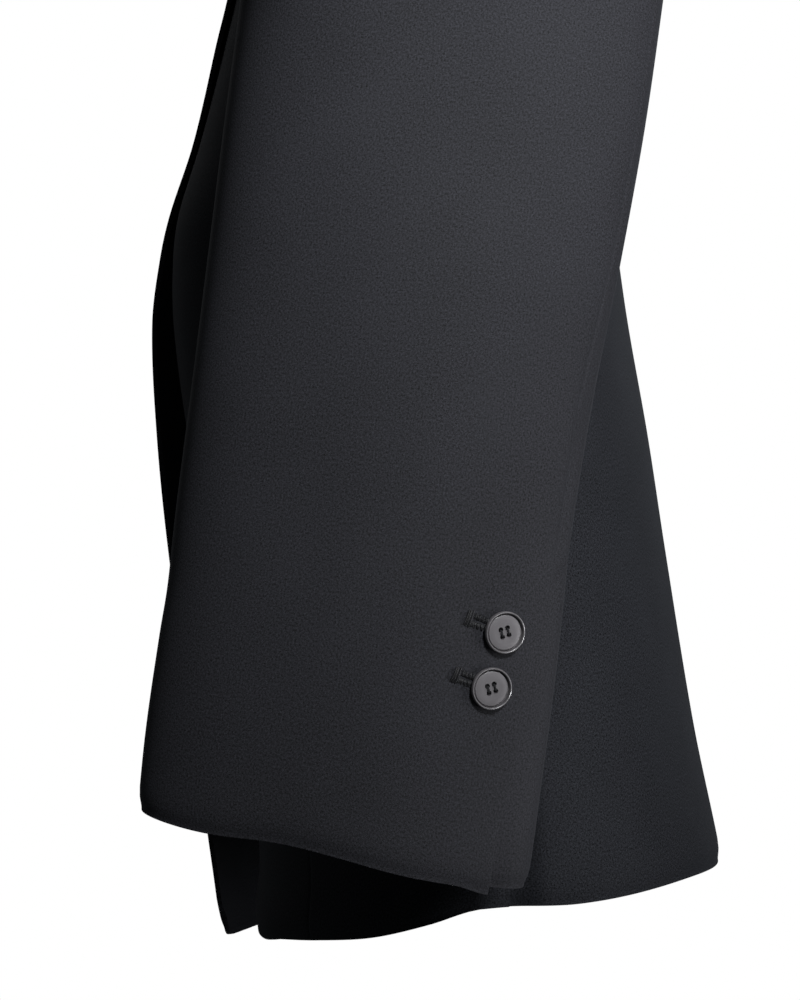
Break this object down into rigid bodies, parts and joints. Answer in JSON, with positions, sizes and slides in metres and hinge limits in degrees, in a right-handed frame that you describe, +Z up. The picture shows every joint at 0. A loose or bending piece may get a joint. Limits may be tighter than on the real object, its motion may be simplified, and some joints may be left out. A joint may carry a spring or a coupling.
{
  "type": "tailored jacket",
  "caption": "Black single-breasted tailored jacket with lapels, two-piece sleeves with buttoned cuffs and a flared, cut-away hem, filled out as worn.",
  "frame": {"origin": "the nape: the middle of the back neck seam, where the jacket rests on its wearer", "axes": "+Z up, +X to the wearer's left, -Y to the front"},
  "size_m": [0.574, 0.2387, 0.7928],
  "materials": {
    "suiting": "fine matte black suiting with a faint twill grain",
    "button": "satin dark grey four-hole button"
  },
  "bodies": {
    "root": {"front_left": "suiting", "side_front_left": "suiting", "back_left": "suiting", "lapel_left": "suiting", "top_sleeve_left": "suiting", "under_sleeve_left": "suiting", "cuff_button_left_upper": "button", "cuff_button_left_lower": "button", "front_right": "suiting", "side_front_right": "suiting", "back_right": "suiting", "lapel_right": "suiting", "top_sleeve_right": "suiting", "under_sleeve_right": "suiting", "cuff_button_right_upper": "button", "cuff_button_right_lower": "button", "collar": "suiting", "front_button": "button"}
  },
  "joints": []
}
